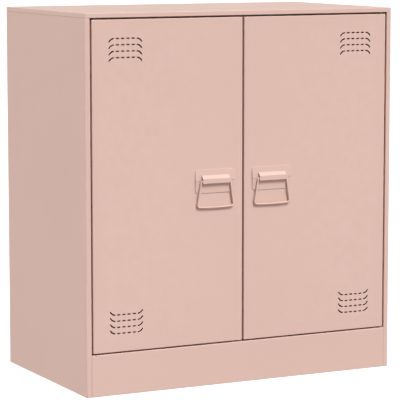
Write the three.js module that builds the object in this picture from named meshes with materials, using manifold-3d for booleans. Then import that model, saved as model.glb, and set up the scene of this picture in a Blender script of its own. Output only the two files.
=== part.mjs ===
// Two-door steel locker cabinet: folded sheet carcass, flush vented doors on pivot pins,
// wire bail handles, one adjustable shelf. Millimetres, +Z up, front towards -Y.
// Origin: middle of the footprint, on the floor. "proud" is a distance in front of the door face.
import * as THREE from "three";
import { mergeVertices } from "three/addons/utils/BufferGeometryUtils.js";
import Module from "manifold-3d";

const wasm = await Module();
wasm.setup();

// ---- driving dimensions ----
const WIDTH = 670;
const DEPTH = 390;
const HEIGHT = 730;
const SHEET = 0.8;
const FIT = 0.3; // gap between neighbouring pieces

const TOP_RIM = 9;
const STILE_WIDTH = 10.2;
const STOP_DEPTH = 24; // door stops lie this far behind the front
const STOP_FLANGE = 13;
const FLANGE = 18; // inward flanges of the side panels
const END_FLANGE_SETBACK = 6; // front and back ends of the side panels' end flanges
const PLINTH_HEIGHT = 80.9;
const PLINTH_LEDGE = 40;
const PLINTH_FOOT = 20;
const FLOOR_TOP = 97;
const HEADER_BOTTOM = 700;

const DOOR_GAP = 2.9; // below a door
const HEAD_GAP = 3.7; // above a door
const SIDE_GAP = 3.3; // outside a door
const CENTRE_GAP = 3.8; // between the doors
const DOOR_DEPTH = 18;
const DOOR_RETURN = 12;
const PIVOT_INSET_X = 7.8; // from the door's outer edge
const PIVOT_INSET_Y = 5; // from the door's front face
const STIFFENER_WIDTH = 60;
const STIFFENER_FOOT = 12;
const STIFFENER_GAP = 2; // to the door's returned edges
const STIFFENER_SETBACK = 1; // from the door's rear

const VENT_EDGE = 35.5; // door's outer edge to the nearest slot
const VENT_END = 35.7; // door's end to the first row
const VENT_ROWS = 4;
const VENT_ROW_PITCH = 12;
const VENT_DASHES = 4;
const DASH_PITCH = 10.9;
const DASH_LENGTH = 7.3;
const SLOT_WIDTH = 2.4;
const VENT_ARC_START = 23.5; // group centre to the start of a curved end slot
const VENT_ARC_RADIUS = 11.4;
const VENT_ARC_SWEEP = 1.2; // radians

const HANDLE_X = 62.3;
const BAIL_AXIS_Z = 402.6;
const BAIL_AXIS_PROUD = 4.6;
const WIRE_RADIUS = 1.85;
const WIRE_END = 0.6; // half the space between the wire's two ends
const BAIL_TOP_HALF = 31.7; // half width between the legs where they leave the strap
const BAIL_BOTTOM_HALF = 38.7;
const BAIL_DROP = 50.3;
const BAIL_LEAN = 0.028; // radians that it hangs back towards the door
const BAIL_CORNER = 5;
const BAIL_TOP_CORNER = 2.6;
const BAIL_STRAIGHT = 12; // leg beyond a corner before the next guide point
const BAIL_BOW = 1.5;
const STRAP_HALF = 29.4;
const STRAP_PROUD = 7.8;
const STRAP_ROOT_PROUD = 2.6;
const STRAP_TOP_Z = 413.8;
const STRAP_BEND_Z = 407.4;
const STRAP_BOTTOM_Z = 397.5;
const STRAP_TURN_BACK = 3.6;
const STRAP_CHAMFER = 0.8;
const PLATE_WIDTH = 86;
const PLATE_BOTTOM_Z = 379;
const PLATE_TOP_Z = 425.3;
const PLATE_RIDGE_PROUD = 2.5;
const PLATE_EDGE_PROUD = 1.2;
const PLATE_CORNER = 6.5;

const SHELF_TOP = 410;
const SHELF_EDGE = 25;
const SHELF_SIDE_GAP = 1.6;
const SHELF_FRONT_GAP = 3;
const SHELF_BACK_GAP = 1;
const RAIL_FACE = 24;
const RAIL_STEP = 8;
const RAIL_FOOT = 9;
const RAIL_INSET = 52; // front and back of the cabinet to a rail's middle
const RAIL_SLOTS = 7;
const RAIL_SLOT_PITCH = 75;
const RAIL_SLOT_WIDTH = 18;
const RAIL_SLOT_HEIGHT = 4;
const CLIP_WIDTH = 14;
const CLIP_SHEET = 1.2;
const CLIP_LEDGE = 13;
const CLIP_TAB = 7;
const CLIP_LEG = 9;

const PIN_RADIUS = 2.5;
const PIN_REACH = 15; // into the door
const PIN_HEAD_RADIUS = 3.7;
const PIN_HEAD_HEIGHT = 2;
const PIN_POINT = 1;
const BUSH_BORE = 2.65;
const BUSH_SLEEVE = 3.4;
const BUSH_FLANGE = 4.4;
const BUSH_REACH = 6;
const HINGE_PLATE_SHEET = 2;
const HINGE_PLATE_INNER = 12; // pin to the plate's inner edge
const HINGE_PLATE_OUTER = 9;
const HINGE_PLATE_FRONT = 1.2; // from the cabinet's front
const HINGE_PLATE_REAR = 20;
const BUFFER_RADIUS = 4;
const BUFFER_TAPER = 2;
const BUFFER_INSET = 7; // from the door's edges
const SCREW_HEAD_RADIUS = 3.6;
const SCREW_LENGTH = 8;
const SCREW_PROUD = 2.2;
const SCREW_CORE = 1.9;
const SCREW_TIP = 1.2;
const SCREW_CHAMFER = 0.6;
const SCREWS_PER_SIDE = 4;
const SWAGE_X = 120;
const SWAGE_HALF = 20;
const SWAGE_DEPTH = 4;
const BACK_SIDE_GAP = 2;
const BACK_END_GAP = 1;
const CATCH_LENGTH = 46;
const CATCH_HEIGHT = 14;
const CATCH_X = 44;
const MAGNET_LENGTH = 30.6;
const MAGNET_HEIGHT = 9;
const MAGNET_PROUD = 0.5; // of its case
const CATCH_CLEARANCE = 1; // case to the shut door
const CATCH_WALL = 1.2;
const HEADER_RISE = 0.5; // header ledge above the top panel's rim
const PLATE_LIFT = 0.15; // handle plate clear of the door face
const THROUGH = 5; // how far a cutting tool reaches past what it cuts
const ROUND = 16; // facets of a turned piece

// ---- worked out from them ----
const HALF = WIDTH / 2;
const FRONT = (STRAP_PROUD - DEPTH - SCREW_PROUD) / 2; // centred with straps and screw heads
const BACK = FRONT + DEPTH;
const RIM_BOTTOM = HEIGHT - TOP_RIM;
const SIDE_TOP = RIM_BOTTOM - FIT;
const STOP_Y = FRONT + STOP_DEPTH;
const INNER_HALF = HALF - SHEET - FIT;
const STILE_INNER = HALF - STILE_WIDTH;
const DOOR_BOTTOM = PLINTH_HEIGHT + DOOR_GAP;
const DOOR_TOP = RIM_BOTTOM - HEAD_GAP;
const DOOR_OUTER = STILE_INNER - SIDE_GAP;
const DOOR_INNER = CENTRE_GAP / 2;
const DOOR_REAR = FRONT + DOOR_DEPTH;
const PIVOT_X = DOOR_OUTER - PIVOT_INSET_X;
const PIVOT_Y = FRONT + PIVOT_INSET_Y;
const BACK_SHEET_Y = BACK - SHEET - FIT; // the back panel's outer face
const INNER_BACK = BACK_SHEET_Y - SHEET - SWAGE_DEPTH - FIT;
const RAIL_WALL = INNER_HALF;
const RAIL_INNER = RAIL_WALL - RAIL_STEP;
const HEADER_LEDGE_Z = RIM_BOTTOM + HEADER_RISE;
const pinPlaces = [-PIVOT_X, PIVOT_X];

// ---- materials ----
const coat = new THREE.MeshStandardMaterial({ color: 0xdebcb0, roughness: 0.55, metalness: 0 });
const zinc = new THREE.MeshStandardMaterial({ color: 0xb9bcbf, roughness: 0.35, metalness: 1 });
const nylon = new THREE.MeshStandardMaterial({ color: 0x323235, roughness: 0.5, metalness: 0 });
const rubber = new THREE.MeshStandardMaterial({ color: 0x26262a, roughness: 0.85, metalness: 0 });
const plastic = new THREE.MeshStandardMaterial({ color: 0x2e2e31, roughness: 0.5, metalness: 0 });
const ferrite = new THREE.MeshStandardMaterial({ color: 0x4a4a4d, roughness: 0.6, metalness: 0.4 });

// ---- shape helpers ----
const shapeOf = (points) => new THREE.Shape(points.map(([a, b]) => new THREE.Vector2(a, b)));

const extrude = (shape, depth, curveSegments = 3) =>
  new THREE.ExtrudeGeometry(shape, { depth, bevelEnabled: false, curveSegments });

// Points are (x, y); the prism runs up from z0 to z1.
const alongZ = (points, z0, z1) => extrude(shapeOf(points), z1 - z0).translate(0, 0, z0);

// Points are (y, z); the prism runs from x0 to x1.
const YZX = new THREE.Matrix4().makeBasis(
  new THREE.Vector3(0, 1, 0),
  new THREE.Vector3(0, 0, 1),
  new THREE.Vector3(1, 0, 0),
);
const alongX = (points, x0, x1) =>
  extrude(shapeOf(points), x1 - x0).applyMatrix4(YZX).translate(x0, 0, 0);

// A shape in (x, z), as a slab from y0 to y1.
const alongY = (shape, y0, y1, curveSegments) =>
  extrude(shape, y1 - y0, curveSegments).rotateX(Math.PI / 2).translate(0, y1, 0);

const block = (x0, x1, y0, y1, z0, z1) =>
  new THREE.BoxGeometry(x1 - x0, y1 - y0, z1 - z0)
    .translate((x0 + x1) / 2, (y0 + y1) / 2, (z0 + z1) / 2);

// Outline of a folded sheet: the given line is one face, and the sheet lies to its left.
function folded(line, thickness = SHEET) {
  const offset = line.map(([x, y], i) => {
    const before = i > 0 ? direction(line[i - 1], line[i]) : direction(line[i], line[i + 1]);
    const after = i < line.length - 1 ? direction(line[i], line[i + 1]) : before;
    const across = 1 + before[0] * after[0] + before[1] * after[1];
    const nx = -(before[1] + after[1]) / across;
    const ny = (before[0] + after[0]) / across;
    return [x + nx * thickness, y + ny * thickness];
  });
  return [...line, ...offset.reverse()];
}

function direction([x0, y0], [x1, y1]) {
  const length = Math.hypot(x1 - x0, y1 - y0);
  return [(x1 - x0) / length, (y1 - y0) / length];
}

// ---- joins and cuts ----
function solid(geometry) {
  const bare = geometry.clone();
  bare.deleteAttribute("normal");
  bare.deleteAttribute("uv");
  const merged = mergeVertices(bare, 1e-4);
  return new wasm.Manifold(new wasm.Mesh({
    numProp: 3,
    vertProperties: merged.attributes.position.array,
    triVerts: new Uint32Array(merged.index.array),
  }));
}

function geometryOf(body) {
  const mesh = body.getMesh();
  const geometry = new THREE.BufferGeometry();
  geometry.setAttribute("position", new THREE.BufferAttribute(mesh.vertProperties, 3));
  geometry.setIndex(new THREE.BufferAttribute(mesh.triVerts, 1));
  geometry.computeVertexNormals();
  return geometry;
}

const cut = (body, ...tools) =>
  geometryOf(tools.reduce((rest, tool) => rest.subtract(solid(tool)), solid(body)));

const join = (...pieces) =>
  geometryOf(pieces.slice(1).reduce((sum, piece) => sum.add(solid(piece)), solid(pieces[0])));

const common = (a, b) => geometryOf(solid(a).intersect(solid(b)));

// An upright round drill from z0 to z1.
const drill = (x, y, radius, z0, z1) =>
  new THREE.CylinderGeometry(radius, radius, z1 - z0, ROUND)
    .rotateX(Math.PI / 2)
    .translate(x, y, (z0 + z1) / 2);

// A turned piece about +Z from a closed (radius, z) outline.
const turned = (outline) =>
  new THREE.LatheGeometry(outline.map(([r, z]) => new THREE.Vector2(r, z)), ROUND)
    .rotateX(Math.PI / 2);

// ---- assembly helpers ----
const cabinet = new THREE.Group();
const bodies = {};
for (const name of ["frame", "door_left", "door_right"]) {
  bodies[name] = new THREE.Group();
  cabinet.add(bodies[name]);
}

function add(body, name, geometry, material, mirrored = false) {
  const mesh = new THREE.Mesh(geometry, material);
  mesh.name = name;
  if (mirrored) mesh.scale.x = -1;
  bodies[body].add(mesh);
  return mesh;
}

// Pieces are modelled on the right, and the left one is its mirror image.
function addPair(body, name, geometry, material) {
  add(body, name + "_left", geometry, material, true);
  add(body, name + "_right", geometry, material);
}

// ---- carcass ----
function topPanel() {
  const cap = block(-HALF, HALF, FRONT, BACK, RIM_BOTTOM, HEIGHT);
  const hollow = block(
    SHEET - HALF, HALF - SHEET, FRONT + SHEET, BACK - SHEET, RIM_BOTTOM - THROUGH, HEIGHT - SHEET,
  );
  return cut(cap, hollow);
}

// Wall, front stile, stop flange and rear flange are one folded sheet; the ends are flanged too.
function sidePanel() {
  const section = folded([
    [HALF - STILE_WIDTH - STOP_FLANGE, STOP_Y],
    [STILE_INNER, STOP_Y],
    [STILE_INNER, FRONT],
    [HALF, FRONT],
    [HALF, BACK],
    [HALF - FLANGE, BACK],
  ]);
  const endFlange = (z) => block(
    HALF - FLANGE, HALF - SHEET / 2, STOP_Y + END_FLANGE_SETBACK, INNER_BACK - END_FLANGE_SETBACK,
    z, z + SHEET,
  );
  const panel = join(alongZ(section, 0, SIDE_TOP), endFlange(0), endFlange(SIDE_TOP - SHEET));
  return cut(panel, ...backScrewPlaces().map(([x, z]) => screwHole(x, z)));
}

function backPanel() {
  const swage = (x) => [
    [x - SWAGE_HALF, 0],
    [x - SWAGE_HALF + SWAGE_DEPTH, -SWAGE_DEPTH],
    [x + SWAGE_HALF - SWAGE_DEPTH, -SWAGE_DEPTH],
    [x + SWAGE_HALF, 0],
  ];
  const edge = INNER_HALF - BACK_SIDE_GAP;
  const line = [[edge, 0], ...[SWAGE_X, -SWAGE_X].flatMap((x) => swage(x).reverse()), [-edge, 0]];
  const section = folded(line.map(([x, y]) => [x, BACK_SHEET_Y + y]));
  const sheet = alongZ(section, BACK_END_GAP, SIDE_TOP - BACK_END_GAP);
  return cut(sheet, ...backScrewPlaces().map(([x, z]) => screwHole(x, z)));
}

function backScrewPlaces() {
  const spacing = (SIDE_TOP - 2 * RAIL_INSET) / (SCREWS_PER_SIDE - 1);
  const heights = Array.from({ length: SCREWS_PER_SIDE }, (_, i) => RAIL_INSET + i * spacing);
  return [-1, 1].flatMap((side) => heights.map((z) => [side * (HALF - FLANGE / 2), z]));
}

const screwHole = (x, z) =>
  drill(0, 0, SCREW_CORE + FIT, -THROUGH, THROUGH).rotateX(Math.PI / 2).translate(x, BACK, z);

function backScrew() {
  const outline = [
    [0, -SCREW_LENGTH], [SCREW_TIP, -SCREW_LENGTH], [SCREW_CORE, SCREW_TIP - SCREW_LENGTH],
    [SCREW_CORE, FIT], [SCREW_HEAD_RADIUS, FIT],
    [SCREW_HEAD_RADIUS - SCREW_CHAMFER, SCREW_PROUD - SCREW_CHAMFER],
    [SCREW_CORE, SCREW_PROUD], [0, SCREW_PROUD],
  ];
  return turned(outline).rotateX(-Math.PI / 2);
}

function floorPanel() {
  const tray = block(-INNER_HALF, INNER_HALF, STOP_Y, INNER_BACK, PLINTH_HEIGHT + FIT, FLOOR_TOP);
  const hollow = block(
    SHEET - INNER_HALF, INNER_HALF - SHEET, STOP_Y + SHEET, INNER_BACK - SHEET,
    PLINTH_HEIGHT - THROUGH, FLOOR_TOP - SHEET,
  );
  return cut(tray, hollow, ...stopNotches(PLINTH_HEIGHT, HEIGHT, STOP_Y + SHEET + FIT));
}

const pinHoles = (z) =>
  pinPlaces.map((x) => drill(x, PIVOT_Y, PIN_RADIUS + FIT, z - THROUGH, z + THROUGH));

// Room at both ends for the side panels' stop flanges, back to depth y.
function stopNotches(z0, z1, y) {
  const inner = HALF - STILE_WIDTH - STOP_FLANGE - FIT;
  return [block(inner, HALF, STOP_Y - FIT, y, z0, z1), block(-HALF, -inner, STOP_Y - FIT, y, z0, z1)];
}

function plinthPanel() {
  const half = STILE_INNER - FIT;
  const section = folded([
    [FRONT + PLINTH_LEDGE, PLINTH_HEIGHT],
    [FRONT, PLINTH_HEIGHT],
    [FRONT, 0],
    [FRONT + PLINTH_FOOT, 0],
  ]);
  return cut(
    alongX(section, -half, half),
    ...stopNotches(PLINTH_HEIGHT - THROUGH, HEIGHT, BACK),
    ...pinHoles(PLINTH_HEIGHT),
  );
}

// The ledge lies inside the top panel; the web is the upper door stop.
function headerRail() {
  const section = folded([
    [STOP_Y, HEADER_BOTTOM],
    [STOP_Y, HEADER_LEDGE_Z],
    [FRONT + SHEET + FIT, HEADER_LEDGE_Z],
  ].reverse());
  return cut(
    alongX(section, -INNER_HALF, INNER_HALF),
    ...stopNotches(0, SIDE_TOP + FIT, BACK),
    ...pinHoles(HEADER_LEDGE_Z),
  );
}

// ---- shelf and its supports ----
const shelfHalf = RAIL_INNER - SHEET - SHELF_SIDE_GAP;
const ledgeTop = SHELF_TOP - SHELF_EDGE - FIT;
const railBottom = FLOOR_TOP + FIT;

function shelf() {
  const y0 = STOP_Y + SHELF_FRONT_GAP;
  const y1 = INNER_BACK - SHELF_BACK_GAP;
  const tray = block(-shelfHalf, shelfHalf, y0, y1, SHELF_TOP - SHELF_EDGE, SHELF_TOP);
  const hollow = block(
    SHEET - shelfHalf, shelfHalf - SHEET, y0 + SHEET, y1 - SHEET,
    SHELF_TOP - SHELF_EDGE - THROUGH, SHELF_TOP - SHEET,
  );
  return cut(tray, hollow);
}

// Hat section on the side wall, with a column of slots in its face.
function shelfRail(y) {
  const half = RAIL_FACE / 2;
  const section = folded([
    [RAIL_WALL - SHEET, y + half + RAIL_FOOT],
    [RAIL_WALL - SHEET, y + half],
    [RAIL_INNER - SHEET, y + half],
    [RAIL_INNER - SHEET, y - half],
    [RAIL_WALL - SHEET, y - half],
    [RAIL_WALL - SHEET, y - half - RAIL_FOOT],
  ]);
  const slots = Array.from({ length: RAIL_SLOTS }, (_, i) => {
    const z = ledgeTop - CLIP_SHEET / 2 + (i - (RAIL_SLOTS - 1) / 2) * RAIL_SLOT_PITCH;
    return block(
      RAIL_INNER - THROUGH, RAIL_INNER + THROUGH,
      y - RAIL_SLOT_WIDTH / 2, y + RAIL_SLOT_WIDTH / 2,
      z - RAIL_SLOT_HEIGHT / 2, z + RAIL_SLOT_HEIGHT / 2,
    );
  });
  return cut(alongZ(section, railBottom, SIDE_TOP - SHEET - FIT), ...slots);
}

// Ledge through the slot, a tab up behind the rail's face and a leg down in front of it.
function shelfClip(y) {
  const y0 = y - CLIP_WIDTH / 2;
  const y1 = y + CLIP_WIDTH / 2;
  const faceIn = RAIL_INNER - SHEET - FIT;
  const faceOut = RAIL_INNER + FIT;
  const ledgeBottom = ledgeTop - CLIP_SHEET;
  return join(
    block(faceIn - CLIP_LEDGE, faceOut + CLIP_SHEET, y0, y1, ledgeBottom, ledgeTop),
    block(faceOut, faceOut + CLIP_SHEET, y0, y1, ledgeBottom, ledgeTop + CLIP_TAB),
    block(faceIn - CLIP_SHEET, faceIn, y0, y1, ledgeBottom - CLIP_LEG, ledgeTop),
  );
}

// ---- hinges: a pin drops or rises through the frame into a bush in the door's rim ----
function hingePin() {
  return turned([
    [0, 0], [PIN_HEAD_RADIUS, 0], [PIN_HEAD_RADIUS, PIN_HEAD_HEIGHT], [PIN_RADIUS, PIN_HEAD_HEIGHT],
    [PIN_RADIUS, pinLength - PIN_POINT], [PIN_RADIUS - PIN_POINT, pinLength], [0, pinLength],
  ]);
}
const pinHeadZ = PLINTH_HEIGHT - SHEET - HINGE_PLATE_SHEET - 3 * FIT - PIN_HEAD_HEIGHT;
const pinLength = DOOR_BOTTOM + PIN_REACH - pinHeadZ;

function hingePlate() {
  const plate = block(
    PIVOT_X - HINGE_PLATE_INNER, PIVOT_X + HINGE_PLATE_OUTER,
    FRONT + HINGE_PLATE_FRONT, FRONT + HINGE_PLATE_REAR, 0, HINGE_PLATE_SHEET,
  );
  return cut(plate, drill(PIVOT_X, PIVOT_Y, PIN_RADIUS + FIT, -THROUGH, THROUGH));
}

// The flange fills most of the gap under the door and carries its weight.
function pivotBush() {
  const flange = DOOR_GAP - 2 * FIT;
  return turned([
    [BUSH_BORE, 0], [BUSH_FLANGE, 0], [BUSH_FLANGE, flange],
    [BUSH_SLEEVE, flange], [BUSH_SLEEVE, flange + BUSH_REACH], [BUSH_BORE, flange + BUSH_REACH],
    [BUSH_BORE, 0],
  ]);
}

// ---- doors ----
const doorMiddle = (DOOR_INNER + DOOR_OUTER) / 2;
const groupX = DOOR_OUTER - VENT_EDGE - VENT_ARC_START - VENT_ARC_RADIUS * Math.sin(VENT_ARC_SWEEP);

// Slots of one vent group as shapes about its first row; the ends bend away from the edge.
function ventShapes(topZ, towards) {
  const shapes = [];
  for (let row = 0; row < VENT_ROWS; row++) {
    const z = topZ + towards * row * VENT_ROW_PITCH;
    for (let i = 0; i < VENT_DASHES; i++) {
      const x = groupX + (i - (VENT_DASHES - 1) / 2) * DASH_PITCH;
      shapes.push(shapeOf([
        [x - DASH_LENGTH / 2, z - SLOT_WIDTH / 2], [x + DASH_LENGTH / 2, z - SLOT_WIDTH / 2],
        [x + DASH_LENGTH / 2, z + SLOT_WIDTH / 2], [x - DASH_LENGTH / 2, z + SLOT_WIDTH / 2],
      ]));
    }
    for (const side of [-1, 1]) shapes.push(arcSlot(groupX + side * VENT_ARC_START, z, side, towards));
  }
  return shapes;
}

function arcSlot(x, z, side, towards) {
  const start = -towards * Math.PI / 2;
  const end = start + side * towards * VENT_ARC_SWEEP;
  const clockwise = side * towards < 0;
  const centreZ = z + towards * VENT_ARC_RADIUS;
  const slot = new THREE.Shape();
  slot.absarc(x, centreZ, VENT_ARC_RADIUS + SLOT_WIDTH / 2, start, end, clockwise);
  slot.absarc(x, centreZ, VENT_ARC_RADIUS - SLOT_WIDTH / 2, end, start, !clockwise);
  return slot;
}

function doorSkin() {
  const returned = SHEET + DOOR_RETURN;
  const pan = block(DOOR_INNER, DOOR_OUTER, FRONT, DOOR_REAR, DOOR_BOTTOM, DOOR_TOP);
  const hollow = block(
    DOOR_INNER + SHEET, DOOR_OUTER - SHEET, FRONT + SHEET, DOOR_REAR - SHEET,
    DOOR_BOTTOM + SHEET, DOOR_TOP - SHEET,
  );
  const mouth = block(
    DOOR_INNER + returned, DOOR_OUTER - returned, DOOR_REAR - THROUGH, DOOR_REAR + THROUGH,
    DOOR_BOTTOM + returned, DOOR_TOP - returned,
  );
  const vents = [
    ...ventShapes(DOOR_TOP - VENT_END, -1),
    ...ventShapes(DOOR_BOTTOM + VENT_END, 1),
  ].map((shape) => alongY(shape, FRONT - THROUGH, FRONT + THROUGH));
  const bushHole = drill(PIVOT_X, PIVOT_Y, BUSH_SLEEVE + FIT, DOOR_BOTTOM - THROUGH, DOOR_TOP + THROUGH);
  return cut(pan, hollow, mouth, bushHole, ...vents);
}

// Hat section down the middle of the door's inside.
function doorStiffener() {
  const half = STIFFENER_WIDTH / 2;
  const web = half - STIFFENER_FOOT;
  const near = FRONT + SHEET + FIT;
  const far = DOOR_REAR - STIFFENER_SETBACK;
  const section = folded([
    [doorMiddle + half, near + SHEET],
    [doorMiddle + web, near + SHEET],
    [doorMiddle + web, far],
    [doorMiddle - web, far],
    [doorMiddle - web, near + SHEET],
    [doorMiddle - half, near + SHEET],
  ]);
  const end = DOOR_RETURN + STIFFENER_GAP;
  return alongZ(section, DOOR_BOTTOM + end, DOOR_TOP - end);
}

function roundedRect(width, z0, z1, corner) {
  const half = width / 2;
  const outline = new THREE.Shape();
  outline.absarc(half - corner, z0 + corner, corner, -Math.PI / 2, 0, false);
  outline.absarc(half - corner, z1 - corner, corner, 0, Math.PI / 2, false);
  outline.absarc(corner - half, z1 - corner, corner, Math.PI / 2, Math.PI, false);
  outline.absarc(corner - half, z0 + corner, corner, Math.PI, Math.PI * 1.5, false);
  return outline;
}

// Shallow roof-shaped pressing, hollow behind.
function handlePlate() {
  const back = FRONT - PLATE_LIFT;
  const roof = (inset, depth) => [
    [back + depth, PLATE_BOTTOM_Z + inset],
    [FRONT - PLATE_EDGE_PROUD + inset, PLATE_BOTTOM_Z + inset],
    [FRONT - PLATE_RIDGE_PROUD + inset, BAIL_AXIS_Z],
    [FRONT - PLATE_EDGE_PROUD + inset, PLATE_TOP_Z - inset],
    [back + depth, PLATE_TOP_Z - inset],
  ];
  const outline = (inset) => alongY(
    roundedRect(PLATE_WIDTH - 2 * inset, PLATE_BOTTOM_Z + inset, PLATE_TOP_Z - inset,
      PLATE_CORNER - inset),
    FRONT - THROUGH, FRONT + THROUGH,
  );
  const form = (inset, depth) => common(
    alongX(roof(inset, depth), -PLATE_WIDTH, PLATE_WIDTH), outline(inset),
  );
  return cut(form(0, 0), form(SHEET, THROUGH));
}

// Hood over the wire: slopes out from the plate, runs down, and turns back under the wire.
function handleStrap() {
  const face = FRONT - STRAP_PROUD;
  const section = folded([
    [FRONT - STRAP_ROOT_PROUD, STRAP_TOP_Z],
    [face + STRAP_CHAMFER, STRAP_BEND_Z + STRAP_CHAMFER / 2],
    [face, STRAP_BEND_Z - STRAP_CHAMFER],
    [face, STRAP_BOTTOM_Z + STRAP_CHAMFER],
    [face + STRAP_CHAMFER, STRAP_BOTTOM_Z],
    [face + STRAP_TURN_BACK, STRAP_BOTTOM_Z],
  ]);
  return alongX(section, -STRAP_HALF, STRAP_HALF);
}

// Wire from the middle of the strap round the grip and back; its two ends meet inside the strap.
function bail() {
  const top = BAIL_AXIS_Z;
  const bottom = top - BAIL_DROP;
  const spread = BAIL_BOTTOM_HALF - BAIL_TOP_HALF;
  const lean = spread / (BAIL_DROP - BAIL_TOP_CORNER - BAIL_CORNER); // sideways for each step down a leg
  const halfway = 1 - Math.SQRT1_2; // how far the middle of a round corner lies from its square one
  const half = [
    [WIRE_END, top],
    [BAIL_TOP_HALF / 2, top],
    [BAIL_TOP_HALF - BAIL_TOP_CORNER, top],
    [BAIL_TOP_HALF - halfway * BAIL_TOP_CORNER, top - halfway * BAIL_TOP_CORNER],
    [BAIL_TOP_HALF, top - BAIL_TOP_CORNER],
    [BAIL_TOP_HALF + lean * BAIL_STRAIGHT, top - BAIL_TOP_CORNER - BAIL_STRAIGHT],
    [BAIL_BOTTOM_HALF - lean * BAIL_STRAIGHT, bottom + BAIL_CORNER + BAIL_STRAIGHT],
    [BAIL_BOTTOM_HALF, bottom + BAIL_CORNER],
    [BAIL_BOTTOM_HALF - halfway * BAIL_CORNER, bottom + halfway * BAIL_CORNER],
    [BAIL_BOTTOM_HALF - BAIL_CORNER, bottom],
    [BAIL_BOTTOM_HALF / 2, bottom - BAIL_BOW * 0.75], // on a parabola through the ends and middle
  ];
  const mirrored = half.map(([x, z]) => [-x, z]).reverse();
  const route = [...half, [0, bottom - BAIL_BOW], ...mirrored];
  const path = new THREE.CatmullRomCurve3(
    route.map(([x, z]) => new THREE.Vector3(x, FRONT - BAIL_AXIS_PROUD, z)),
    false,
    "centripetal",
  );
  const wire = new THREE.Shape().absarc(0, 0, WIRE_RADIUS, 0, 2 * Math.PI, false);
  return new THREE.ExtrudeGeometry(wire, { steps: 56, extrudePath: path, curveSegments: 4 })
    .translate(0, BAIL_AXIS_PROUD - FRONT, -BAIL_AXIS_Z)
    .rotateX(BAIL_LEAN)
    .translate(0, FRONT - BAIL_AXIS_PROUD, BAIL_AXIS_Z);
}

function buffer() {
  const length = STOP_Y - DOOR_REAR - 2 * FIT;
  return turned([
    [0, 0], [BUFFER_RADIUS, 0], [BUFFER_RADIUS, length - BUFFER_TAPER],
    [BUFFER_RADIUS - BUFFER_TAPER, length], [0, length],
  ]).rotateX(-Math.PI / 2).translate(0, DOOR_REAR + FIT, 0);
}

// ---- magnetic catches on the header ----
const catchZ = (HEADER_BOTTOM + DOOR_TOP) / 2;
const catchRear = STOP_Y - FIT;
const catchFront = DOOR_REAR + CATCH_CLEARANCE;

function catchCase() {
  const body = catchBlock(CATCH_LENGTH, CATCH_HEIGHT, catchFront, catchRear);
  const pocket = catchBlock(MAGNET_LENGTH, MAGNET_HEIGHT, DOOR_REAR, catchRear - CATCH_WALL);
  return cut(body, pocket);
}

const catchMagnet = () => catchBlock(
  MAGNET_LENGTH - 2 * FIT, MAGNET_HEIGHT - 2 * FIT,
  catchFront - MAGNET_PROUD, catchRear - CATCH_WALL - FIT,
);

const catchBlock = (length, height, y0, y1) => block(
  CATCH_X - length / 2, CATCH_X + length / 2, y0, y1, catchZ - height / 2, catchZ + height / 2,
);

// ---- build the frame ----
add("frame", "top_panel", topPanel(), coat);
addPair("frame", "side_panel", sidePanel(), coat);
add("frame", "back_panel", backPanel(), coat);
add("frame", "floor_panel", floorPanel(), coat);
add("frame", "plinth_panel", plinthPanel(), coat);
add("frame", "header_rail", headerRail(), coat);
add("frame", "shelf", shelf(), coat);
for (const [place, y] of [["front", FRONT + RAIL_INSET], ["back", BACK - RAIL_INSET]]) {
  addPair("frame", "shelf_rail_" + place, shelfRail(y), coat);
  addPair("frame", "shelf_clip_" + place, shelfClip(y), zinc);
}
const screw = backScrew();
backScrewPlaces().forEach(([x, z], i) => {
  add("frame", "back_screw_" + (i + 1), screw.clone().translate(x, BACK, z), zinc);
});

// The upper hinge parts are the lower ones turned over about the door's mid height.
const overturn = (geometry) => geometry.clone().rotateX(Math.PI);
const pin = hingePin().translate(PIVOT_X, 0, 0);
const pinTopZ = HEADER_LEDGE_Z + HINGE_PLATE_SHEET + SHEET + 3 * FIT + PIN_HEAD_HEIGHT;
addPair("frame", "hinge_pin_lower", pin.clone().translate(0, PIVOT_Y, pinHeadZ), zinc);
addPair("frame", "hinge_pin_upper", overturn(pin).translate(0, PIVOT_Y, pinTopZ), zinc);
const plateLowerZ = PLINTH_HEIGHT - SHEET - FIT - HINGE_PLATE_SHEET;
const plateUpperZ = HEADER_LEDGE_Z + SHEET + FIT;
addPair("frame", "hinge_plate_lower", hingePlate().translate(0, 0, plateLowerZ), zinc);
addPair("frame", "hinge_plate_upper", hingePlate().translate(0, 0, plateUpperZ), zinc);
addPair("frame", "catch_case", catchCase(), plastic);
addPair("frame", "catch_magnet", catchMagnet(), ferrite);

// ---- build the doors ----
const bush = pivotBush().translate(PIVOT_X, 0, 0);
const bushGap = DOOR_GAP - FIT;
const bufferX = DOOR_INNER + BUFFER_INSET;
const parts = {
  door_skin: [doorSkin(), coat],
  door_stiffener: [doorStiffener(), coat],
  handle_plate: [handlePlate().translate(HANDLE_X, 0, 0), coat],
  handle_strap: [handleStrap().translate(HANDLE_X, 0, 0), coat],
  bail: [bail().translate(HANDLE_X, 0, 0), coat],
  bush_lower: [bush.clone().translate(0, PIVOT_Y, DOOR_BOTTOM - bushGap), nylon],
  bush_upper: [overturn(bush).translate(0, PIVOT_Y, DOOR_TOP + bushGap), nylon],
  buffer_lower: [buffer().translate(bufferX, 0, DOOR_BOTTOM + BUFFER_INSET), rubber],
  buffer_upper: [buffer().translate(bufferX, 0, DOOR_TOP - BUFFER_INSET), rubber],
};
for (const [name, [geometry, material]] of Object.entries(parts)) {
  add("door_left", name + "_left", geometry, material, true);
  add("door_right", name + "_right", geometry, material);
}

export default cabinet;
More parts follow.
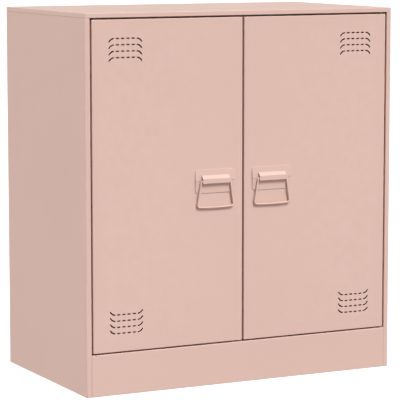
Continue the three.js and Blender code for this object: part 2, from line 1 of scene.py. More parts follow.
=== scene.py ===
"""Two-door steel locker cabinet: folded sheet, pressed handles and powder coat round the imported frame.

The shapes are worked out in millimetres in the frame's own axes, +Z up with the front towards -Y, and
become metres when a mesh is made. A piece is modelled on the right and mirrored to the left. A "line" is
one face of a folded sheet seen in section, with the sheet on its left. "proud" is a distance in front of
the doors. A vertex carries "wear", 1 on a bend and 0 away from it.
"""

import math

import bmesh
import bpy
from mathutils import Matrix, Vector
from mathutils.geometry import delaunay_2d_cdt


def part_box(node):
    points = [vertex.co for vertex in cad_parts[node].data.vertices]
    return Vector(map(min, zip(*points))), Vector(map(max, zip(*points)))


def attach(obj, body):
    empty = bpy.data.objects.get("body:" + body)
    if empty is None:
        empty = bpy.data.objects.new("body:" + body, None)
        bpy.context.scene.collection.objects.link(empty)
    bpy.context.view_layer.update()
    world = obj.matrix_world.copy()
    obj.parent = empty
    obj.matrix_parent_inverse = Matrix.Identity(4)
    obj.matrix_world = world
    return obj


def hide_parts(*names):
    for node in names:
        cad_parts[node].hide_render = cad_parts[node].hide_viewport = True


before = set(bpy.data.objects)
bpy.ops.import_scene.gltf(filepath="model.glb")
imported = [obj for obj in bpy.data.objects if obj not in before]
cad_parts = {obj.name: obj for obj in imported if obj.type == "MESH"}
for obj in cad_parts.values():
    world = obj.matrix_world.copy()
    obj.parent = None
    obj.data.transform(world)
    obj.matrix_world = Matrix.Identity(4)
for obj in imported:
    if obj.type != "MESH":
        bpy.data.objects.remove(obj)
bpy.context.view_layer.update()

MM = 0.001
SHEET = 0.8
BEND = 0.5  # inside radius of a fold
ARC_STEPS = 5
SUPPORT = 2.5  # from a bend to where its wear has faded
BROKEN = 0.15  # how much a cut edge is broken
FIT = 0.3
QUARTER = math.pi / 2

# ---- where things are, from the frame ----


def cad_box(node):
    low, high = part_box(node)
    return low / MM, high / MM


side_lo, side_hi = cad_box("side_panel_right")
top_lo, top_hi = cad_box("top_panel")
door_lo, door_hi = cad_box("door_skin_right")
floor_lo, floor_hi = cad_box("floor_panel")
shelf_lo, shelf_hi = cad_box("shelf")
plinth_lo, plinth_hi = cad_box("plinth_panel")
header_lo, header_hi = cad_box("header_rail")
back_lo, back_hi = cad_box("back_panel")
plate_lo, plate_hi = cad_box("handle_plate_right")
strap_lo, strap_hi = cad_box("handle_strap_right")

HALF = top_hi.x
FRONT = door_lo.y
BACK = top_hi.y
STOP_Y = floor_lo.y
STOP_FLANGE = 13
FLANGE = 18
STILE_INNER = plinth_hi.x + FIT
HANDLE_X = (plate_lo.x + plate_hi.x) / 2
BAIL_AXIS_Z = 402.6
BAIL_AXIS_PROUD = 4.6
WIRE_RADIUS = 1.85


# ---- lines and sections ----


def rounded(line, radii, steps=ARC_STEPS):
    """The line with its inner corners rounded, as (point, wear), and a support point past each bend."""
    marked = [(Vector(line[0]), 0.0)]
    for before, corner, after, radius in zip(line, line[1:], line[2:], radii):
        before, corner, after = Vector(before), Vector(corner), Vector(after)
        back, ahead = (before - corner), (after - corner)
        room = min(back.length, ahead.length)
        back.normalize()
        ahead.normalize()
        half = back.angle(ahead) / 2
        reach = radius / math.tan(half)
        centre = corner + (back + ahead).normalized() * (radius / math.sin(half))
        start, end = corner + back * reach - centre, corner + ahead * reach - centre
        sweep = math.atan2(start.x * end.y - start.y * end.x, start.dot(end))
        if reach + SUPPORT < room / 2:
            marked.append((corner + back * (reach + SUPPORT), 0.0))
        for i in range(steps + 1):
            spoke = start.copy()
            spoke.rotate(Matrix.Rotation(sweep * i / steps, 2))
            marked.append((centre + spoke, 1.0))
        if reach + SUPPORT < room / 2:
            marked.append((corner + ahead * (reach + SUPPORT), 0.0))
    marked.append((Vector(line[-1]), 0.0))
    return marked


def folded(line, thickness=SHEET, inner=BEND):
    """Both faces of a folded sheet as matching (point, wear) lists."""
    line = [Vector(p) for p in line]
    ways = [(b - a).normalized() for a, b in zip(line, line[1:])]
    offset = []
    for i, point in enumerate(line):
        before, after = ways[max(i - 1, 0)], ways[min(i, len(ways) - 1)]
        normal = Vector((-before.y - after.y, before.x + after.x))
        offset.append(point + normal * thickness / (1 + before.dot(after)))
    left_turns = [a.x * b.y - a.y * b.x > 0 for a, b in zip(ways, ways[1:])]
    outer = inner + thickness
    near = rounded(line, [outer if left else inner for left in left_turns])
    far = rounded(offset, [inner if left else outer for left in left_turns])
    return near, far


class Solid:
    """Vertices in millimetres with their wear, and faces."""

    def __init__(self):
        self.verts, self.wear, self.faces = [], [], []

    def ring(self, points, wear=0.0):
        first = len(self.verts)
        self.verts += [Vector(p) for p in points]
        self.wear += [wear] * len(points)
        return list(range(first, len(self.verts)))

    def bridge(self, a, b, closed=True):
        count = len(a)
        for i in range(count if closed else count - 1):
            j = (i + 1) % count
            self.faces.append((a[i], a[j], b[j], b[i]))

    def fill(self, boundary, holes, flat, lines=()):
        """Triangles on the part of a face inside boundary and outside holes, which are rings of it."""
        rings = [boundary, *holes]
        ids = [i for ring in rings for i in ring]
        edges = []
        first = 0
        for ring in rings:
            edges += [(first + i, first + (i + 1) % len(ring)) for i in range(len(ring))]
            first += len(ring)
        where = {vertex: i for i, vertex in enumerate(ids)}
        edges += [(where[a], where[b]) for a, b in lines]
        points = [flat(self.verts[i]) for i in ids]
        outlines = [[flat(self.verts[i]) for i in ring] for ring in holes]
        places, _, triangles, sources, _, _ = delaunay_2d_cdt(points, edges, [], 1, 1e-6, True)
        for triangle in triangles:
            middle = sum((places[i] for i in triangle), Vector((0, 0))) / len(triangle)
            if not any(inside(middle, outline) for outline in outlines):
                self.faces.append(tuple(ids[sources[i][0]] for i in triangle))

    def moved(self, matrix):
        made = Solid()
        made.verts = [matrix @ v for v in self.verts]
        made.wear = list(self.wear)
        made.faces = list(self.faces)
        return made

    def mesh(self, name):
        """A closed mesh in metres, with its normals outwards."""
        work = bmesh.new()
        layer = work.verts.layers.float.new("wear")
        verts = [work.verts.new(v * MM) for v in self.verts]
        for vert, wear in zip(verts, self.wear):
            vert[layer] = wear
        for face in self.faces:
            work.faces.new([verts[i] for i in face])
        bmesh.ops.recalc_face_normals(work, faces=work.faces)
        made = bpy.data.meshes.new(name)
        work.to_mesh(made)
        work.free()
        return made


def inside(point, outline):
    hit = False
    for a, b in zip(outline, outline[1:] + outline[:1]):
        if (a.y > point.y) != (b.y > point.y):
            if point.x < a.x + (point.y - a.y) * (b.x - a.x) / (b.y - a.y):
                hit = not hit
    return hit


def across_x(p, along):
    return (along, p.x, p.y)


def across_z(p, along):
    return (p.x, p.y, along)


def bent_sheet(line, start, end, place, thickness=SHEET, inner=BEND):
    """A folded sheet with the same section from start to end along one axis."""
    solid = Solid()
    near, far = folded(line, thickness, inner)
    rings = []
    for along in (start, end):
        ring = [(place(p, along), w) for p, w in near] + [(place(p, along), w) for p, w in reversed(far)]
        first = len(solid.verts)
        solid.verts += [Vector(p) for p, _ in ring]
        solid.wear += [w for _, w in ring]
        rings.append(list(range(first, len(solid.verts))))
    solid.bridge(*rings)
    count = len(near)
    for ring in rings:
        for i in range(count - 1):
            solid.faces.append((ring[i], ring[i + 1], ring[2 * count - 2 - i], ring[2 * count - 1 - i]))
    return solid


def arc(cx, cy, radius, start, end, steps):
    return [
        (
            cx + radius * math.cos(start + (end - start) * i / steps),
            cy + radius * math.sin(start + (end - start) * i / steps),
        )
        for i in range(steps + 1)
    ]


def rounded_rect(x0, x1, y0, y1, corner, steps=4):
    points = []
    for cx, cy, turn in (
        (x1 - corner, y0 + corner, -1),
        (x1 - corner, y1 - corner, 0),
        (x0 + corner, y1 - corner, 1),
        (x0 + corner, y0 + corner, 2),
    ):
        points += arc(cx, cy, corner, turn * QUARTER, (turn + 1) * QUARTER, steps)
    return points


def turned(outline, segments=32):
    """A turned piece about +Z from an open (radius, z) outline whose ends are closed with flat faces."""
    solid = Solid()
    turns = [2 * math.pi * i / segments for i in range(segments)]
    rings = [
        solid.ring([(radius * math.cos(turn), radius * math.sin(turn), z) for turn in turns])
        for radius, z in outline
    ]
    for a, b in zip(rings, rings[1:]):
        solid.bridge(a, b)
    solid.faces += [tuple(rings[0]), tuple(rings[-1])]
    return solid


def hollow_turned(outline, segments=32):
    """A turned ring from a closed (radius, z) outline."""
    solid = turned(outline, segments)
    solid.faces = solid.faces[:-2]
    count = len(outline)
    last = list(range((count - 1) * segments, count * segments))
    solid.bridge(last, list(range(segments)))
    return solid


def prism(outline, start, end, place):
    """A plain tool for cutting: an outline swept from start to end."""
    solid = Solid()
    rings = [solid.ring([place(Vector(p), along) for p in outline]) for along in (start, end)]
    solid.bridge(*rings)
    solid.faces += [tuple(ring) for ring in rings]
    return solid


def block(x0, x1, y0, y1, z0, z1):
    return prism([(x0, y0), (x1, y0), (x1, y1), (x0, y1)], z0, z1, across_z)


# ---- pans: a flat face with its four edges folded back, and turned in again where there is a return ----

PAN_CORNER = 1.6
LEAST_CORNER = 0.35
HOLE_RIM = 0.25  # radius of a pressed hole's rim


def pan_profile(depth, returned):
    """Outer and inner (inset, depth, wear) steps of a pan's edge, from the face round to the inside."""
    outer = BEND + SHEET
    steps = [(outer + SUPPORT, 0.0, 0.0)]
    bend = [QUARTER * i / ARC_STEPS for i in range(ARC_STEPS + 1)]
    steps += [(outer * (1 - math.sin(a)), outer * (1 - math.cos(a)), 1.0) for a in bend]
    steps.append((0.0, outer + SUPPORT, 0.0))
    if returned:
        steps.append((0.0, depth - outer - SUPPORT, 0.0))
        steps += [(outer * (1 - math.cos(a)), depth - outer * (1 - math.sin(a)), 1.0) for a in bend]
        edge = SHEET + returned
        steps += [(edge - BROKEN, depth, 0.0), (edge, depth - BROKEN, 0.5)]
        steps += [(edge, depth - SHEET + BROKEN, 0.5), (edge - BROKEN, depth - SHEET, 0.0)]
        steps += [
            (outer - BEND * math.cos(a), depth - outer + BEND * math.sin(a), 0.5) for a in reversed(bend)
        ]
    else:
        steps += [(0.0, depth - BROKEN, 0.5), (BROKEN, depth, 0.5)]
        steps += [(SHEET - BROKEN, depth, 0.5), (SHEET, depth - BROKEN, 0.5)]
    steps += [(outer - BEND * math.cos(a), outer - BEND * math.sin(a), 0.5) for a in bend]
    return steps


def pan(x0, x1, y0, y1, depth, place, flat, returned=0.0, holes=()):
    """place puts (across, up, depth) into the frame and flat takes it back to two numbers.
    A hole is a function that gives its outline for a clearance round it."""
    solid = Solid()
    rim = [(HOLE_RIM * (1 - math.sin(a)), HOLE_RIM * (1 - math.cos(a))) for a in (0, 0.8, QUARTER)]
    rim.append((0.0, SHEET))
    rings = []
    for inset, deep, wear in pan_profile(depth, returned):
        corner = max(PAN_CORNER - inset, LEAST_CORNER)
        outline = rounded_rect(x0 + inset, x1 - inset, y0 + inset, y1 - inset, corner)
        rings.append(solid.ring([place(u, v, deep) for u, v in outline], wear))
    for a, b in zip(rings, rings[1:]):
        solid.bridge(a, b)
    outer_holes, inner_holes = [], []
    for hole in holes:
        made = [
            solid.ring([place(u, v, deep) for u, v in hole(clearance)], 0.7 if deep < SHEET else 0.0)
            for clearance, deep in rim
        ]
        for a, b in zip(made, made[1:]):
            solid.bridge(a, b)
        outer_holes.append(made[0])
        inner_holes.append(made[-1])
    solid.fill(rings[0], outer_holes, flat)
    solid.fill(rings[-1], inner_holes, flat)
    return solid


def face_up_pan(x0, x1, y0, y1, z0, z1):
    return pan(x0, x1, y0, y1, z1 - z0, lambda u, v, w: (u, v, z1 - w), lambda p: p.xy)


# ---- materials ----

COAT = (0.721, 0.492, 0.424, 1)
COAT_SHADE = (0.706, 0.479, 0.412, 1)
COAT_EDGE = (0.79, 0.565, 0.495, 1)


class Graph:
    """A material's nodes, with short calls to make and join them."""

    MIX_A, MIX_B, MIX_RESULT = 6, 7, 2  # a Mix node's sockets for colours; several share each name

    def __init__(self, name):
        self.material = bpy.data.materials.new(name)
        self.material.use_nodes = True
        self.tree = self.material.node_tree
        self.surface = self.tree.nodes["Principled BSDF"]
        self.place = self.node("ShaderNodeTexCoord").outputs["Object"]

    def node(self, kind, settings=(), **inputs):
        made = self.tree.nodes.new(kind)
        for name, value in dict(settings).items():
            setattr(made, name, value)
        for name, value in inputs.items():
            self.put(made.inputs[name.replace("_", " ")], value)
        return made

    def put(self, socket, value):
        if isinstance(value, bpy.types.NodeSocket):
            self.tree.links.new(value, socket)
        else:
            socket.default_value = value

    def noise(self, scale, detail=2.0, roughness=0.5):
        made = self.node(
            "ShaderNodeTexNoise", Vector=self.place, Scale=scale, Detail=detail, Roughness=roughness,
        )
        return made.outputs["Fac"]

    def ramp(self, value, low, high, to_low=0.0, to_high=1.0):
        made = self.node(
            "ShaderNodeMapRange",
            Value=value,
            From_Min=low,
            From_Max=high,
            To_Min=to_low,
            To_Max=to_high,
        )
        return made.outputs["Result"]

    def times(self, a, b):
        made = self.node("ShaderNodeMath", {"operation": "MULTIPLY"})
        self.put(made.inputs[0], a)
        self.put(made.inputs[1], b)
        return made.outputs["Value"]

    def mix(self, factor, a, b):
        made = self.node("ShaderNodeMix", {"data_type": "RGBA"})
        self.put(made.inputs["Factor"], factor)
        self.put(made.inputs[self.MIX_A], a)
        self.put(made.inputs[self.MIX_B], b)
        return made.outputs[self.MIX_RESULT]

    def bump(self, height, distance, below=None):
        made = self.node("ShaderNodeBump", Height=height, Distance=distance, Strength=1.0)
        if below is not None:
            self.put(made.inputs["Normal"], below)
        return made.outputs["Normal"]

    def finish(self, **inputs):
        for name, value in inputs.items():
            self.put(self.surface.inputs[name.replace("_", " ")], value)
        return self.material


def powder_coat():
    """Satin powder coat: fine orange peel, a faint drift of shade over a sheet, thinner on the bends."""
    g = Graph("powder_coat")
    worn = g.node("ShaderNodeAttribute", {"attribute_name": "wear"}).outputs["Fac"]
    thin = g.times(worn, g.ramp(g.noise(60, 3), 0.35, 0.7))
    drift = g.ramp(g.noise(3.1, 3), 0.3, 0.7)
    speck = g.ramp(g.noise(1500, 1), 0.62, 0.75, 0.0, 0.5)
    colour = g.mix(g.times(thin, 0.35), g.mix(drift, COAT, COAT_SHADE), COAT_EDGE)
    handled = g.ramp(g.noise(14, 5, 0.6), 0.35, 0.75, 0.40, 0.50)
    peel = g.bump(g.noise(620, 2), 0.000035)
    grain = g.bump(speck, 0.00001, peel)
    return g.finish(Base_Color=colour, Roughness=handled, Normal=grain, Specular_IOR_Level=0.45)


def zinc_plate():
    """Bright zinc with faint crystal patches and a brushed bump."""
    g = Graph("zinc_plate")
    cells = g.node("ShaderNodeTexVoronoi", Vector=g.place, Scale=420.0).outputs["Color"]
    tone = g.ramp(g.noise(90, 4), 0.3, 0.7)
    colour = g.mix(g.times(tone, 0.6), (0.60, 0.61, 0.62, 1), (0.50, 0.50, 0.49, 1))
    shade = g.ramp(cells, 0.0, 1.0, 0.26, 0.44)
    brushed = g.bump(g.noise(1100, 2), 0.00001)
    return g.finish(Base_Color=colour, Metallic=1.0, Roughness=shade, Normal=brushed)


def moulded(name, colour, other, low, high, scale, height=0.00003):
    """A moulded plastic or rubber with a fine grain and slightly uneven colour."""
    g = Graph(name)
    tint = g.mix(g.ramp(g.noise(45, 3), 0.3, 0.7), colour, other)
    gloss = g.ramp(g.noise(120, 3), 0.3, 0.7, low, high)
    return g.finish(Base_Color=tint, Roughness=gloss, Normal=g.bump(g.noise(scale, 2), height))


STEEL = "powder_coated_steel"
ZINC = "zinc_plated_steel"
MATERIALS = {
    STEEL: powder_coat(),
    ZINC: zinc_plate(),
    "nylon": moulded("nylon", (0.022, 0.022, 0.024, 1), (0.032, 0.032, 0.034, 1), 0.38, 0.5, 900, 0.00002),
    "black_rubber": moulded("rubber", (0.018, 0.018, 0.02, 1), (0.03, 0.03, 0.03, 1), 0.7, 0.85, 1300),
    "black_plastic": moulded("plastic", (0.02, 0.02, 0.022, 1), (0.03, 0.03, 0.031, 1), 0.42, 0.55, 1500),
    "ferrite": moulded("ferrite", (0.07, 0.068, 0.066, 1), (0.10, 0.095, 0.09, 1), 0.5, 0.68, 800),
}

# ---- making pieces ----

CABINET = "cabinet"
CARCASS = (CABINET, CABINET)
DOORS = ("door_left", "door_right")
BAILS = ("bail_left", "bail_right")
SHARP = math.radians(32)  # faces that meet at more than this keep a sharp edge


def evaluated(piece):
    graph = bpy.context.evaluated_depsgraph_get()
    return bpy.data.meshes.new_from_object(piece.evaluated_get(graph))


def cut(mesh, *tools):
    """The mesh less the tools, which are one solid each."""
    return combined(mesh, "DIFFERENCE", tools)


def combined(mesh, operation, tools):
    piece = bpy.data.objects.new("work", mesh)
    bpy.context.scene.collection.objects.link(piece)
    helpers = []
    for tool in tools:
        helper = bpy.data.objects.new("tool", tool.mesh("tool"))
        bpy.context.scene.collection.objects.link(helper)
        modifier = piece.modifiers.new("cut", "BOOLEAN")
        modifier.operation = operation
        modifier.solver = "EXACT"
        modifier.object = helper
        helpers.append(helper)
    bpy.context.view_layer.update()
    made = evaluated(piece)
    for leftover in (piece, *helpers):
        bpy.data.objects.remove(leftover)
    return made


def mirror_mesh(mesh):
    made = mesh.copy()
    made.transform(Matrix.Scale(-1, 4, (1, 0, 0)))
    made.flip_normals()
    return made


def show(name, node, mesh, body, slot):
    """Puts a finished mesh into the scene in place of its CAD node."""
    mesh.name = name
    mesh.materials.clear()
    mesh.materials.append(MATERIALS[slot])
    mesh.shade_smooth()
    mesh.set_sharp_from_angle(angle=SHARP)
    piece = bpy.data.objects.new(name, mesh)
    bpy.context.scene.collection.objects.link(piece)
    weighted = piece.modifiers.new("normals", "WEIGHTED_NORMAL")
    weighted.keep_sharp = True
    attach(piece, body)
    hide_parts(node)


def show_pair(name, mesh, bodies, slot):
    """name is the CAD name without its side; the look has the same name with _look in it."""
    for side, body in zip(("left", "right"), bodies):
        made = mesh.copy() if side == "right" else mirror_mesh(mesh)
        show(f"{name}_look_{side}", f"{name}_{side}", made, body, slot)


def drill(x, y, radius, z0, z1):
    return turned([(radius, z0), (radius, z1)]).moved(Matrix.Translation((x, y, 0)))


# ---- carcass ----

pivot_lo, pivot_hi = cad_box("hinge_pin_lower_right")
PIVOT_X = (pivot_lo.x + pivot_hi.x) / 2
PIVOT_Y = (pivot_lo.y + pivot_hi.y) / 2
PIN_HOLE = 2.8
SCREW_HOLE = 2.2
THROUGH = 4  # how far a tool for a hole or a notch runs past the sheet
STOP_INNER = STILE_INNER - STOP_FLANGE - FIT
SIDE_SETBACK = 6  # how far the flanges on a side panel's ends stop short, front and back

screw_nodes = [f"back_screw_{i}" for i in range(1, 9)]
screw_boxes = {node: cad_box(node) for node in screw_nodes}
screw_places = {node: ((lo.x + hi.x) / 2, (lo.z + hi.z) / 2) for node, (lo, hi) in screw_boxes.items()}


def notches(z0, z1, y1):
    """Tools that clear the side panels' stops at both ends of a cross piece."""
    return [block(side * STOP_INNER, side * (HALF + 1), STOP_Y - FIT, y1, z0, z1) for side in (-1, 1)]


def pin_holes(z):
    return [drill(side * PIVOT_X, PIVOT_Y, PIN_HOLE, z - THROUGH, z + THROUGH) for side in (-1, 1)]


def screw_holes(side=None):
    """Tools for all the back's screw holes, or for those on one side, -1 or 1."""
    tools = []
    for x, z in screw_places.values():
        if side is None or x * side > 0:
            hole = turned([(SCREW_HOLE, -THROUGH), (SCREW_HOLE, THROUGH)], 24)
            tools.append(hole.moved(Matrix.Translation((x, BACK, z)) @ Matrix.Rotation(QUARTER, 4, "X")))
    return tools


def top_panel():
    made = face_up_pan(-HALF, HALF, FRONT, BACK, top_lo.z, top_hi.z)
    show("top_panel_look", "top_panel", made.mesh("top_panel"), CABINET, STEEL)


def side_panels():
    line = [
        (STILE_INNER - STOP_FLANGE, STOP_Y), (STILE_INNER, STOP_Y), (STILE_INNER, FRONT),
        (HALF, FRONT), (HALF, BACK), (HALF - FLANGE, BACK),
    ]
    wall = bent_sheet(line, side_lo.z, side_hi.z, across_z).mesh("side")
    y0, y1 = STOP_Y + SIDE_SETBACK, floor_hi.y - SIDE_SETBACK
    flanges = [
        block(HALF - FLANGE, HALF - SHEET / 2, y0, y1, z, z + SHEET) for z in (side_lo.z, side_hi.z - SHEET)
    ]
    wall = cut(combined(wall, "UNION", flanges), *screw_holes(1))
    show_pair("side_panel", wall, CARCASS, STEEL)


SWAGE_X = 120
SWAGE_HALF = 20
SWAGE_DEPTH = 4
SWAGE_BEND = 1.6


def back_panel():
    line = [(back_hi.x, back_hi.y)]
    for x in (SWAGE_X, -SWAGE_X):
        line += [
            (x + SWAGE_HALF, back_hi.y),
            (x + SWAGE_HALF - SWAGE_DEPTH, back_hi.y - SWAGE_DEPTH),
            (x - SWAGE_HALF + SWAGE_DEPTH, back_hi.y - SWAGE_DEPTH),
            (x - SWAGE_HALF, back_hi.y),
        ]
    line.append((back_lo.x, back_hi.y))
    sheet = bent_sheet(line, back_lo.z, back_hi.z, across_z, inner=SWAGE_BEND).mesh("back")
    show("back_panel_look", "back_panel", cut(sheet, *screw_holes()), CABINET, STEEL)


def floor_panel():
    made = face_up_pan(floor_lo.x, floor_hi.x, floor_lo.y, floor_hi.y, floor_lo.z, floor_hi.z).mesh("floor")
    tools = notches(floor_lo.z - 1, floor_hi.z + 1, STOP_Y + SHEET + FIT)
    show("floor_panel_look", "floor_panel", cut(made, *tools), CABINET, STEEL)


PLINTH_LEDGE = 40
PLINTH_FOOT = 20
SEAM = 0.22  # how much of the gap beside the plinth its ends close


def plinth_panel():
    line = [
        (FRONT + PLINTH_LEDGE, plinth_hi.z), (FRONT, plinth_hi.z), (FRONT, 0), (FRONT + PLINTH_FOOT, 0),
    ]
    made = bent_sheet(line, plinth_lo.x - SEAM, plinth_hi.x + SEAM, across_x).mesh("plinth")
    tools = notches(plinth_hi.z - THROUGH, plinth_hi.z + THROUGH, FRONT + PLINTH_LEDGE + 2)
    tools += pin_holes(plinth_hi.z)
    show("plinth_panel_look", "plinth_panel", cut(made, *tools), CABINET, STEEL)


def header_rail():
    ledge = header_hi.z - SHEET
    line = [(header_lo.y, ledge), (STOP_Y, ledge), (STOP_Y, header_lo.z)]
    made = bent_sheet(line, header_lo.x, header_hi.x, across_x).mesh("header")
    tools = notches(header_lo.z - 2, side_hi.z + FIT, STOP_Y + THROUGH)
    tools += pin_holes(ledge)
    show("header_rail_look", "header_rail", cut(made, *tools), CABINET, STEEL)


def shelf():
    made = face_up_pan(shelf_lo.x, shelf_hi.x, shelf_lo.y, shelf_hi.y, shelf_lo.z, shelf_hi.z)
    show("shelf_look", "shelf", made.mesh("shelf"), CABINET, STEEL)


top_panel()
side_panels()
back_panel()
floor_panel()
plinth_panel()
header_rail()
shelf()

# ---- doors ----

DOOR_DEPTH = door_hi.y - door_lo.y
DOOR_RETURN = 12
VENT_EDGE = 35.5  # from the door's side edge to the far end of a curved slot
VENT_END = 35.7  # from the door's top or bottom to the first row
VENT_ROWS = 4
VENT_ROW_PITCH = 12
VENT_DASHES = 4
DASH_PITCH = 10.9
DASH_LENGTH = 7.1
SLOT_WIDTH = 2.6
VENT_ARC_START = 23.5  # from the middle of a group to where a curved slot starts
VENT_ARC_RADIUS = 11.4
VENT_ARC_SWEEP = 1.2  # radians
BUSH_HOLE = 3.7
MITRE_START = 1.6  # from a door's corner to the slit between two returns
MITRE_HALF = 0.25  # half the slit's width
MITRE_DEEP = SHEET + 0.4
MITRE_PAST = 0.6  # how far the slit runs past the returns


def dash(x, z):
    """A straight slot as a function of the clearance round it."""

    def outline(clearance):
        half, radius = DASH_LENGTH / 2 - SLOT_WIDTH / 2, SLOT_WIDTH / 2 + clearance
        right = arc(x + half, z, radius, -QUARTER, QUARTER, 5)
        return right + arc(x - half, z, radius, QUARTER, 3 * QUARTER, 5)

    return outline


def curved(x, z, side, towards):
    """A slot bent round a quarter of a circle, which starts level at (x, z)."""
    centre = z + towards * VENT_ARC_RADIUS
    start = -towards * QUARTER
    turn = side * towards
    trim = SLOT_WIDTH / 2 / VENT_ARC_RADIUS
    first, last = start + turn * trim, start + turn * (VENT_ARC_SWEEP - trim)

    def outline(clearance):
        half = SLOT_WIDTH / 2 + clearance
        points = arc(x, centre, VENT_ARC_RADIUS + half, first, last, 6)
        points += end_cap(x, centre, last, half, turn)
        points += arc(x, centre, VENT_ARC_RADIUS - half, last, first, 6)
        return points + end_cap(x, centre, first, half, turn, True)

    return outline


def end_cap(x, z, angle, radius, turn, start=False):
    """The inner points of a slot's round end, which lies across the arc at an angle."""
    cx, cz = x + VENT_ARC_RADIUS * math.cos(angle), z + VENT_ARC_RADIUS * math.sin(angle)
    begin = angle + (math.pi if start else 0)
    return arc(cx, cz, radius, begin, begin + turn * math.pi, 5)[1:-1]


def vents():
    group_x = door_hi.x - VENT_EDGE - VENT_ARC_START - VENT_ARC_RADIUS * math.sin(VENT_ARC_SWEEP)
    middle = (VENT_DASHES - 1) / 2
    holes = []
    for first_z, towards in ((door_hi.z - VENT_END, -1), (door_lo.z + VENT_END, 1)):
        for row in range(VENT_ROWS):
            z = first_z + towards * row * VENT_ROW_PITCH
            holes += [dash(group_x + (i - middle) * DASH_PITCH, z) for i in range(VENT_DASHES)]
            holes += [curved(group_x + side * VENT_ARC_START, z, side, towards) for side in (-1, 1)]
    return holes


def door_skins():
    """Slits part the returns where they meet; turn counts eighths of a circle."""
    made = pan(
        door_lo.x, door_hi.x, door_lo.z, door_hi.z, DOOR_DEPTH,
        lambda u, v, w: (u, FRONT + w, v), lambda p: p.xz, DOOR_RETURN, vents(),
    ).mesh("door")
    tools = [drill(PIVOT_X, PIVOT_Y, BUSH_HOLE, z - 3, z + 3) for z in (door_lo.z, door_hi.z)]
    reach = (SHEET + DOOR_RETURN + MITRE_PAST) * math.sqrt(2)
    for x, z, turn in (
        (door_lo.x, door_lo.z, 1),
        (door_hi.x, door_lo.z, 3),
        (door_hi.x, door_hi.z, 5),
        (door_lo.x, door_hi.z, 7),
    ):
        slit = block(MITRE_START, reach, -MITRE_HALF, MITRE_HALF, -MITRE_DEEP, 1)
        at = Matrix.Translation((x, door_hi.y, z)) @ Matrix.Rotation(-QUARTER, 4, "X")
        tools.append(slit.moved(at @ Matrix.Rotation(-turn * math.pi / 4, 4, "Z")))
    show_pair("door_skin", cut(made, *tools), DOORS, STEEL)


door_skins()

STIFFENER_WIDTH = 60
STIFFENER_FOOT = 12


def door_stiffeners():
    lo, hi = cad_box("door_stiffener_right")
    middle, half = (lo.x + hi.x) / 2, STIFFENER_WIDTH / 2
    web, near, far = half - STIFFENER_FOOT, lo.y + SHEET, hi.y
    line = [
        (middle + half, near), (middle + web, near), (middle + web, far),
        (middle - web, far), (middle - web, near), (middle - half, near),
    ]
    made = bent_sheet(line, lo.z, hi.z, across_z).mesh("stiffener")
    show_pair("door_stiffener", made, DOORS, STEEL)


door_stiffeners()

# ---- handles ----

PLATE_RIDGE_PROUD = 2.5
PLATE_EDGE_PROUD = 1.2
PLATE_CORNER = 6.5
PLATE_EDGE = 0.55  # radius of the pressed edge
PLATE_LIFT = 0.15  # from the door's face to the plate's foot
CREASE = (-1.2, -0.5, -0.35, 0.35, 0.5, 1.2)  # heights above the bail's axis of the pressed crease's lines
CREASE_DEPTH = 0.9
STRAP_TURN_BACK = 3.6
STRAP_BEND = 0.45  # inside radius of its folds
STRAP_BEND_Z = 407.5
STRAP_ROOT_PROUD = 2.6
BAIL_TOP_HALF = 31.3  # where a leg's line meets the level of the axis
BAIL_BOTTOM_HALF = 39.5
BAIL_DROP = 50.3
BAIL_LEAN = 0.028  # radians that it hangs back towards the door
BAIL_BOW = 1.5
BAIL_RADII = (3.0, 4.6)
WIRE_END = 0.6
WIRE_SIDES = 20


def plate_face(z):
    """How proud the handle plate is at a height."""
    edge = plate_hi.z if z > BAIL_AXIS_Z else plate_lo.z
    fall = (PLATE_RIDGE_PROUD - PLATE_EDGE_PROUD) / abs(edge - BAIL_AXIS_Z)
    away = abs(z - BAIL_AXIS_Z)
    bottom, rim = CREASE[-3:-1]
    sunk = CREASE_DEPTH * min(max((rim - away) / (rim - bottom), 0.0), 1.0)
    return PLATE_RIDGE_PROUD - fall * away - sunk


def plate_ring(solid, inset, proud, wear):
    """The plate's outline drawn in by an inset, with points where the crease ends; proud takes a height."""
    x0, x1 = plate_lo.x + inset, plate_hi.x - inset
    z0, z1 = plate_lo.z + inset, plate_hi.z - inset
    corners = rounded_rect(x0, x1, z0, z1, PLATE_CORNER - inset, 7)
    each = len(corners) // 4
    points = corners[:each] + [(x1, BAIL_AXIS_Z + c) for c in CREASE]
    points += corners[each:3 * each] + [(x0, BAIL_AXIS_Z + c) for c in reversed(CREASE)]
    points += corners[3 * each:]
    return solid.ring([(x, FRONT - proud(z), z) for x, z in points], wear)


def crease_lines(ring):
    """Pairs of a ring's points that the crease runs between."""
    each, count = (len(ring) - 2 * len(CREASE)) // 4, len(CREASE)
    right = ring[each:each + count]
    left = ring[3 * each + count:3 * each + 2 * count]
    return list(zip(right, reversed(left)))


def handle_plates():
    solid = Solid()
    outer = [plate_ring(solid, 0.0, lambda z: PLATE_LIFT, 0.3)]
    for i in range(ARC_STEPS + 1):
        angle = QUARTER * i / ARC_STEPS
        inset, drop = PLATE_EDGE * (1 - math.cos(angle)), PLATE_EDGE * (1 - math.sin(angle))
        outer.append(plate_ring(solid, inset, lambda z: plate_face(z) - drop, 1.0))
    outer.append(plate_ring(solid, PLATE_EDGE + 1.5, plate_face, 0.0))
    inner = [
        plate_ring(solid, SHEET, lambda z: PLATE_LIFT, 0.0),
        plate_ring(solid, SHEET, lambda z: plate_face(z) - SHEET, 0.0),
    ]
    for a, b in [*zip(outer, outer[1:]), (inner[0], outer[0]), (inner[0], inner[1])]:
        solid.bridge(a, b)
    for ring in (outer[-1], inner[-1]):
        solid.fill(ring, [], lambda p: p.xz, crease_lines(ring))
    show_pair("handle_plate", solid.mesh("handle_plate"), DOORS, STEEL)


